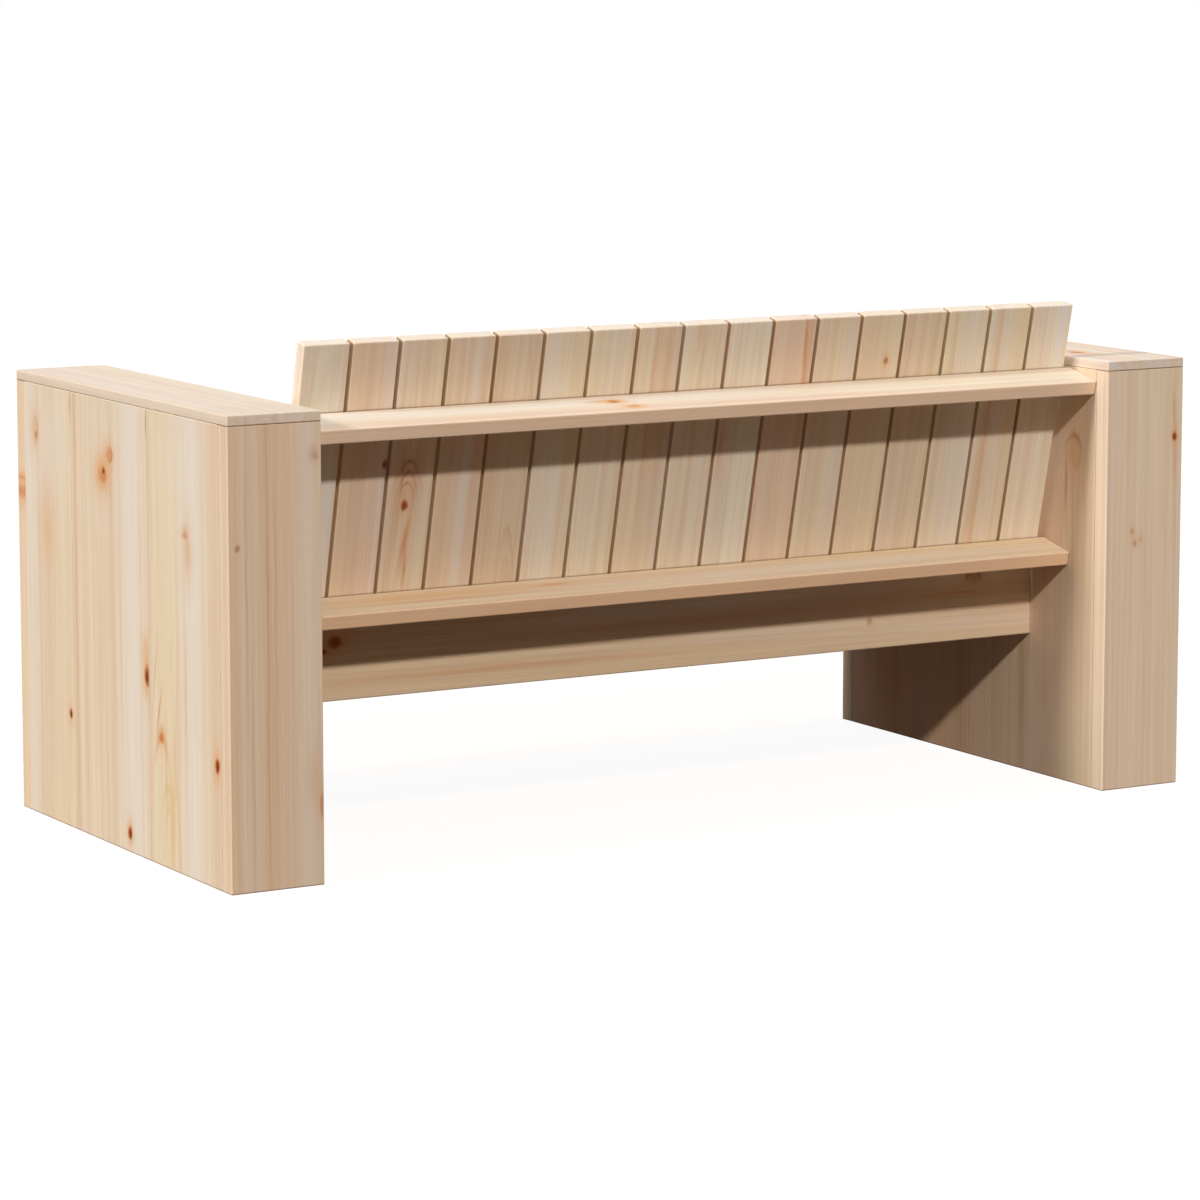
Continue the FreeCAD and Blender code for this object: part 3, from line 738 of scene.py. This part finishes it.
# Box arms
armBoards = {
    "left_arm_cover": {
        "lie": "cover", "seed": 301, "width": 118, "tone": "rosy", "ringDepth": 0.25, "drift": 0.06,
        "blush": 0.2, "honey": 0.3, "lilac": 0.2,
    },
    "left_arm_front_board": {
        "lie": "endBoard", "seed": 302, "width": 118, "tone": "light",
        "knots": [
            knot(130, 61, 9, 4, strength=0.4, heart=0.4, rim=0.2, halo=0.7),
            knot(148, 61, 4, 3, strength=0.3, heart=0.2, rim=0.2, halo=0.5), knot(-90, -20, 12, 9),
        ],
    },
    "left_arm_rear_board": {
        "lie": "endBoard", "seed": 303, "width": 118, "tone": "plain", "ringDepth": 0.5, "ringWidth": 7,
        "pithAcross": 130, "pithThrough": -30, "blush": 0.3, "honey": 0.3, "lilac": 0.2,
        "knots": [
            knot(129, 47, 4.5, 3.5, strength=0.5, rim=0.3, halo=0.15),
            knot(-174, -58, 15, 4, strength=0.5, rim=0.1, halo=0.3, heart=0.3),
        ],
        "streaks": [
            band(32, 12, 0.5, "lilac"), band(11, 6, 0.75, "tan"), streak(0, 10, 300, 1.2, 0.35, rust),
            band(-8, 9, 0.5, "blush"), band(-42, 14, 0.8, "lilac"), streak(60, 0, 260, 2.0, 0.2, rust),
            streak(-140, -46, 40, 9, 0.3, pineWood["lateRing"]), streak(231, -49, 9, 6, 0.45, rust),
            streak(228, -52, 4, 3, 0.5, rust), streak(212, -50, 26, 5, 0.3, pineWood["blush"]),
            streak(90, 36, 180, 1.6, 0.25, rust), streak(-120, 30, 200, 1.6, 0.25, rust),
        ],
    },
    "left_arm_outer_front_plank": {
        "lie": "sideBoard", "seed": 304, "width": 139, "tone": "creamy", "ringDepth": 0.5, "ringWidth": 9,
        "blush": 0.3, "honey": 0.3, "lilac": 0.2,
        "knots": [
            knot(211, -38, 16, 10, strength=0.12, rim=0.25, halo=0.4, heart=0.1),
            knot(205, -35, 5, 4, strength=0.6, rim=0.2, halo=0.3, heart=0.3, bend=0.0),
            knot(95, -3, 24, 13, strength=0.0, rim=0.0, halo=0.32),
            knot(-127, 59, 7, 5, strength=1.0, rim=0.3, halo=0.5, heart=1.0),
        ],
        "streaks": [
            band(-54, 17, 0.7, "lilac"), band(-5, 19, 0.75, "tan"), band(36, 13, 0.6, "honey"),
            streak(200, 0, 90, 90, 0.5, pineWood["lilac"]),
            # Painted shade where the joint opens at the plank's top
            streak(249, 69, 16, 1.2, 0.9, openJointShade),
        ],
    },
    "left_arm_outer_middle_plank": {
        "lie": "sideBoard", "seed": 305, "width": 219, "tone": "creamy", "ringDepth": 0.6, "ringWidth": 9,
        "pithAcross": 20, "pithThrough": -70, "slope": 0.01, "blush": 0.3, "honey": 0.3, "lilac": 0.2,
        "knots": [
            knot(178, -16, 12, 14, strength=0.2, rim=0.0, halo=0.8, heart=0.0),
            knot(176, -14, 8, 9, strength=0.45, rim=0.2, halo=0.5, heart=0.0, bend=0.0),
            knot(182, -13, 4.5, 4.5, strength=1.0, rim=0.6, halo=0.0, bend=0.0, bulge=0.0),
            knot(203, 4, 8, 10, strength=0.35, rim=0.5, halo=0.7, heart=0.2),
            knot(-48, 103.5, 12.5, 7.5, strength=1.0, rim=0.6, halo=0.8, heart=1.0, bulge=6.0),
            knot(-14, 101, 9, 8, strength=0.0, rim=0.0, halo=0.4),
            knot(-245, 50, 8, 6.2, strength=1.0, rim=0.3, halo=0.8, heart=1.0),
        ],
        "streaks": [
            band(-80, 22, 0.35, "blush"), band(-98, 5, 0.5, "lateRing"), band(6, 12, 0.7, "tan"),
            band(66, 32, 0.85, "lilac"), streak(0, 88, 320, 2.0, 0.3), streak(170, 8, 60, 4, 0.2, rust),
            streak(-200, -45, 140, 7, 0.45, pineWood["honey"]), streak(-120, -70, 200, 3, 0.35),
            # Painted shade where the joints open at the plank's top
            streak(249, -108.5, 16, 1.2, 0.7, openJointShade), streak(251, 108.5, 14, 1.2, 0.9, openJointShade),
            streak(220, 30, 120, 90, 0.3, pineWood["lilac"]),
        ],
    },
    "left_arm_outer_rear_plank": {
        "lie": "sideBoard", "seed": 306, "width": 194, "tone": "creamy", "ringDepth": 0.55, "ringWidth": 8,
        "pithAcross": -45, "pithThrough": -60, "slope": 0.03, "blush": 0.3, "honey": 0.3, "lilac": 0.2,
        "knots": [
            knot(-116, -64, 6, 6, strength=0.75, rim=0.0, halo=0.7, heart=0.0, bulge=9),
            knot(-124, 87, 10, 6.3, strength=1.0, rim=0.2, halo=0.8, heart=1.0),
            knot(112, 14, 20, 9, strength=0.12, rim=0.0, halo=0.4, heart=0.0),
            knot(131, 6, 4, 8, strength=0.4, rim=0.2, halo=0.2, heart=0.1, bend=0.0),
        ],
        "streaks": [
            band(-92, 4, 0.6, "tan"), band(-50, 30, 0.75, "honey"), band(24, 28, 0.85, "lilac"),
            band(86, 15, 0.85, "tan"), streak(-86, -70, 26, 2.0, 0.9, lean=7),
            streak(-40, -80, 34, 2.0, 0.5, lean=5), streak(-222, -36, 52, 5, 0.75, pineWood["ochre"]),
            streak(-200, -20, 70, 3, 0.6, pineWood["ochre"], lean=-6),
            streak(-150, -28, 60, 2.5, 0.6, pineWood["ochre"], lean=3),
            streak(210, -10, 120, 80, 0.3, pineWood["lilac"]), streak(-60, 4, 90, 4, 0.35),
            streak(-160, -52, 60, 2.5, 0.35), streak(136, 8, 7, 7, 0.35, rust),
        ],
        "arches": [
            arch(-112, -64, 15, 22, 5.0, 0.9), arch(-104, -64, 20, 34, 5.0, 0.4),
            arch(-172, -48, 16, 26, 7.0, 0.6, pineWood["ochre"]),
            arch(-196, -46, 12, 34, 8.0, 0.5, pineWood["ochre"]),
        ],
    },
    "left_arm_inner_panel": {
        "lie": "sideBoard", "seed": 307, "width": 552,
        "knots": [knot(-60, -120, 13, 9), knot(160, -190, 10, 7, strength=0.7)],
    },
    "right_arm_cover": {
        "lie": "cover", "seed": 311, "width": 118, "tone": "rosy", "ringDepth": 0.35,
        "knots": [knot(180, 20, 14, 9, strength=0.5, halo=0.7)],
    },
    "right_arm_front_board": {
        "lie": "endBoard", "seed": 312, "width": 118, "tone": "plain", "knots": [knot(60, 25, 12, 9)],
    },
    "right_arm_rear_board": {
        "lie": "endBoard", "seed": 313, "width": 118, "tone": "palest", "ringDepth": 0.3,
        "pithAcross": -140, "pithThrough": -20,
        "knots": [
            knot(180, -47, 5.5, 4, strength=0.95, rim=0.6, halo=0.6, heart=1.0),
            knot(62, 17, 3.5, 3, strength=0.3, rim=0.2, halo=0.4, heart=0.2),
            knot(47, 13, 3.5, 3, strength=0.4, rim=0.2, halo=0.4, heart=0.3),
            knot(52, 4, 3, 2.5, strength=0.2, rim=0.1, halo=0.4, heart=0.0),
        ],
        "streaks": [
            streak(215, -45, 26, 2.2, 0.7, lean=2), streak(150, -47, 30, 3.0, 0.45),
            band(20, 12, 0.4, "blush"), band(-30, 14, 0.4, "honey"),
        ],
    },
    "right_arm_outer_front_plank": {
        "lie": "sideBoard", "seed": 314, "width": 139, "knots": [knot(-150, 20, 12, 8)],
    },
    "right_arm_outer_middle_plank": {
        "lie": "sideBoard", "seed": 315, "width": 219,
        "knots": [knot(90, -60, 14, 10), knot(-190, 70, 10, 7, strength=0.8), knot(210, 40, 8, 6)],
    },
    "right_arm_outer_rear_plank": {
        "lie": "sideBoard", "seed": 316, "width": 194, "knots": [knot(-30, 40, 16, 9, halo=0.7)],
    },
    "right_arm_inner_panel": {
        "lie": "sideBoard", "seed": 317, "width": 552, "tone": "plain", "ringDepth": 0.7,
        "pithAcross": 120, "pithThrough": -45, "honey": 0.3, "lilac": 0.2,
        "knots": [
            knot(160, 232, 22, 14, strength=0.08, rim=0.2, halo=0.4, heart=0.0),
            knot(-80, -60, 12, 8),
        ],
        "streaks": [
            # The broad warm patch low at the front is painted bounce light in the panel's shade
            streak(118, 214, 34, 3, 0.75, rust), streak(-230, -150, 130, 150, 0.75, paintedBounceLight),
            band(-40, 40, 0.4, "tan"), band(160, 24, 0.3, "blush"), band(-110, 26, 0.5, "blush"),
            band(-170, 9, 0.4, "lateRing"), band(-20, 7, 0.4, "lateRing"),
            streak(200, 200, 110, 60, 0.5, pineWood["lilac"]),
            streak(-190, -190, 130, 34, 0.35, copper), streak(-180, 125, 90, 7, 0.3, rust),
            streak(-150, -13, 200, 1.5, 0.35, rust), streak(-130, -5, 230, 1.5, 0.25, rust),
            streak(-170, 4, 150, 2, 0.25, rust),
        ],
        "arches": [arch(180, 230, 13, 7, 4.5, 0.55, rust)],
    },
    "arm_corner_battens": {"lie": "endBoard", "seed": 320, "width": 20},
    "cover_dowels": {"lie": "endBoard", "seed": 321, "width": 8, "tone": "brown"},
}

for node, given in armBoards.items():
    dressBoard(node, **given)
print("box arms dressed")

# Zinc-plated steel of the screws
steel = {
    "bright": (0.31, 0.30, 0.28), "dull": (0.20, 0.195, 0.185),
    "roughness": 0.48, "roughnessSpan": 0.2, "grain": 900.0,
}


def steelMaterial(name, look):
    material, start = newMaterial(name)
    place = start.make("TexCoord", output="Object")
    cloud = start.make("TexNoise", {}, {"Vector": place, "Scale": look["grain"], "Detail": 2})
    colour = cloud.blend(look["bright"], look["dull"])
    roughness = cloud * look["roughnessSpan"] + look["roughness"]
    surface = start.make(
        "BsdfPrincipled", {}, {"Base Color": colour, "Metallic": 1.0, "Roughness": roughness}
    )
    finishMaterial(start, surface)
    return material


steelOfScrews = steelMaterial("zinc_plated_steel", steel)
for node in ("batten_screws", "frame_screws"):
    dress(nodes[node], steelOfScrews)

# The slats' countersunk screws. Sizes in millimetres, the profile from the head downwards:
# how far each step goes down and how wide it ends, as a share of the step before
slatScrew = {
    "head": 4.0, "rim": 0.2, "sides": 14, "sink": 0.1,
    "profile": ((1.8, 0.5), (28.0, 1.0), (5.0, 0.15)),
    "recessReach": 2.3, "recessWidth": 1.0, "recessDepth": 1.4, "smoothBelow": 35,
}


def selectFaces(piece, wanted):
    # Leaves the piece in edit mode with only the wanted faces selected
    bpy.ops.object.select_all(action="DESELECT")
    piece.select_set(True)
    bpy.context.view_layer.objects.active = piece
    bpy.ops.object.mode_set(mode="EDIT")
    bpy.ops.mesh.select_mode(type="FACE")
    bpy.ops.mesh.select_all(action="DESELECT")
    bpy.ops.object.mode_set(mode="OBJECT")
    for face in piece.data.polygons:
        face.select = wanted(face)
    bpy.ops.object.mode_set(mode="EDIT")


def applyModifier(piece, kind, settings):
    bpy.ops.object.select_all(action="DESELECT")
    piece.select_set(True)
    bpy.context.view_layer.objects.active = piece
    modifier = piece.modifiers.new(kind.lower(), kind)
    for name, value in settings.items():
        setattr(modifier, name, value)
    bpy.ops.object.modifier_apply(modifier=modifier.name)


def makeScrew(name, size):
    # One screw with the top of its head at the origin, pointing down
    rim = size["rim"] * millimetre
    bpy.ops.object.select_all(action="DESELECT")
    bpy.ops.mesh.primitive_cylinder_add(
        vertices=size["sides"], radius=size["head"] * millimetre, depth=rim, location=(0, 0, -rim / 2)
    )
    screw = bpy.context.object
    screw.name = name
    bpy.ops.object.transform_apply(location=True, rotation=True, scale=True)
    pointsDown = -0.9
    selectFaces(screw, lambda face: face.normal.z < pointsDown)
    for drop, share in size["profile"]:
        bpy.ops.mesh.extrude_region_move(TRANSFORM_OT_translate={"value": (0, 0, -drop * millimetre)})
        bpy.ops.transform.resize(value=(share, share, 1), center_override=(0, 0, 0))
    bpy.ops.object.mode_set(mode="OBJECT")
    for turn in (0, math.pi / 2):
        cutRecess(screw, size, turn)
    return screw


def cutRecess(screw, size, turn):
    # One slot of the cross recess, cut with a 2 mm cube scaled to it
    bpy.ops.object.select_all(action="DESELECT")
    bpy.ops.mesh.primitive_cube_add(size=2 * millimetre, rotation=(0, 0, turn))
    slot = bpy.context.object
    slot.scale = (size["recessReach"], size["recessWidth"] / 2, size["recessDepth"])
    bpy.ops.object.transform_apply(location=True, rotation=True, scale=True)
    applyModifier(screw, "BOOLEAN", {"object": slot, "operation": "DIFFERENCE", "solver": "EXACT"})
    bpy.data.objects.remove(slot)


def repeatScrew(screw, count, offset):
    applyModifier(screw, "ARRAY", {
        "count": count, "use_relative_offset": False, "use_constant_offset": True,
        "constant_offset_displace": offset,
    })


def placeScrews(node, first, lean, rowStep, size):
    # A screw in each slat, in two rows, in place of the plain ones of a node
    middles = [sum(corner[0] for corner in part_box(f"back_slat_{number:02d}")) / 2 for number in (1, 2)]
    screw = makeScrew(node + "_modelled", size)
    screw.location = Vector((middles[0], 0, 0)) + first
    screw.rotation_euler = (lean, 0, 0)
    bpy.ops.object.select_all(action="DESELECT")
    screw.select_set(True)
    bpy.context.view_layer.objects.active = screw
    bpy.ops.object.transform_apply(location=True, rotation=True, scale=True)
    repeatScrew(screw, len(backSlats), (middles[1] - middles[0], 0, 0))
    repeatScrew(screw, 2, rowStep)
    bpy.ops.object.shade_smooth_by_angle(angle=math.radians(size["smoothBelow"]))
    dress(screw, steelOfScrews)
    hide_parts(node)
    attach(screw, "root")


def middleOf(node, direction):
    # Where the middle of a node's box lies along a direction
    low, high = [Vector(corner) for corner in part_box(node)]
    return (low + high).dot(Vector(direction)) / 2


def placeBackScrews(size):
    slatMiddle, slatHalves = measureBoard(nodes["back_slat_01"], lies["backSlat"])
    faceDepth = slatMiddle.dot(Vector(behindBack)) + (size["sink"] - slatHalves[2]) * millimetre
    lower, upper = [
        measureBoard(nodes[rail], lies["backRail"])[0].dot(Vector(upBack))
        for rail in ("lower_back_rail", "upper_back_rail")
    ]
    first = Vector(behindBack) * faceDepth + Vector(upBack) * lower
    placeScrews("back_slat_screws", first, math.pi / 2 - backTilt, Vector(upBack) * (upper - lower), size)


def placeSeatScrews(size):
    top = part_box("seat_slat_01")[1][2] - size["sink"] * millimetre
    front, rear = [middleOf(apron, alongY) for apron in ("front_apron", "rear_apron")]
    placeScrews("seat_slat_screws", Vector((0, front, top)), 0, (0, rear - front, 0), size)


placeBackScrews(slatScrew)
placeSeatScrews(slatScrew)
print("screws made")

# Studio: lamps, world and floor
lamps = {
    "key": {"comesFrom": (0.34, 0.80, 0.60), "strength": 2.03, "width": 3.0, "colour": (1.0, 0.95, 0.90)},
    "side": {"comesFrom": (1.0, 0.035, 0.47), "strength": 2.18, "width": 6.5, "colour": (1.0, 0.98, 0.96)},
    "far": {"comesFrom": (-1.0, -0.1, 0.12), "strength": 1.5, "width": 8.0},
    "front": {"comesFrom": (-0.2, -1.0, 0.03), "strength": 1.65, "width": 8.0},
}
sky = {
    "horizon": 0.06, "horizonColour": (1.0, 0.74, 0.58), "overhead": 0.9, "overheadColour": (0.70, 0.87, 1.0),
}
floorLook = {"colour": (0.12, 0.085, 0.065), "glow": 0.94, "size": 60.0}


def makeSun(name, comesFrom, strength, width, colour=(1.0, 1.0, 1.0), away=4):
    # A lamp as wide as that many degrees of the sky
    light = bpy.data.lights.new(name, "SUN")
    light.energy = strength
    light.angle = math.radians(width)
    light.color = colour
    lamp = bpy.data.objects.new(name, light)
    scene.collection.objects.link(lamp)
    lamp.rotation_mode = "QUATERNION"
    lamp.rotation_quaternion = (-Vector(comesFrom)).to_track_quat("-Z", "Y")
    lamp.location = Vector(comesFrom) * away


def makeWorld(look):
    # White to the camera, and a bluish sky over a warm horizon as light
    world = bpy.data.worlds.new("studio")
    scene.world = world
    world.use_nodes = True
    world.node_tree.nodes.clear()
    start = Wire(world.node_tree)
    direction = start.make("TexCoord", output="Generated")
    height = start.make("SeparateXYZ", {}, {0: direction}, "Z").high(0.0)
    rise = height * height
    tint = rise.blend(look["horizonColour"], look["overheadColour"])
    lit = start.make("Background", {}, {"Color": tint, "Strength": rise * look["overhead"] + look["horizon"]})
    seen = start.make("Background", {}, {"Color": (1, 1, 1, 1), "Strength": 1.0})
    mix = start.make("MixShader", {}, {0: seenByCamera(start), 1: lit, 2: seen})
    start.make("OutputWorld", {}, {"Surface": mix})


def seenByCamera(start):
    # 1 for what the camera sees, also in or through a shiny surface
    camera = start.make("LightPath", output="Is Camera Ray")
    glossy = start.make("LightPath", output="Is Glossy Ray")
    through = start.make("LightPath", output="Is Transmission Ray")
    return camera.high(glossy).high(through)


def makeFloor(look):
    # A brown floor for the light's bounce that glows nearly white to the camera
    bpy.ops.object.select_all(action="DESELECT")
    bpy.ops.mesh.primitive_plane_add(size=look["size"], location=(0, 0, 0))
    floor = bpy.context.object
    floor.name = "floor"
    material, start = newMaterial("studio_floor")
    matt = start.make("BsdfDiffuse", {}, {"Color": (*look["colour"], 1)})
    glow = start.make("Emission", {}, {"Color": (1, 1, 1, 1), "Strength": look["glow"]})
    dark = start.make("Emission", {}, {"Color": (0, 0, 0, 1), "Strength": 0.0})
    seen = start.make("MixShader", {}, {0: seenByCamera(start), 1: dark, 2: glow})
    surface = start.make("AddShader", {}, {0: matt, 1: seen})
    finishMaterial(start, surface)
    dress(floor, material)


for name, given in lamps.items():
    makeSun(name, **given)
makeWorld(sky)
makeFloor(floorLook)
print("studio built")
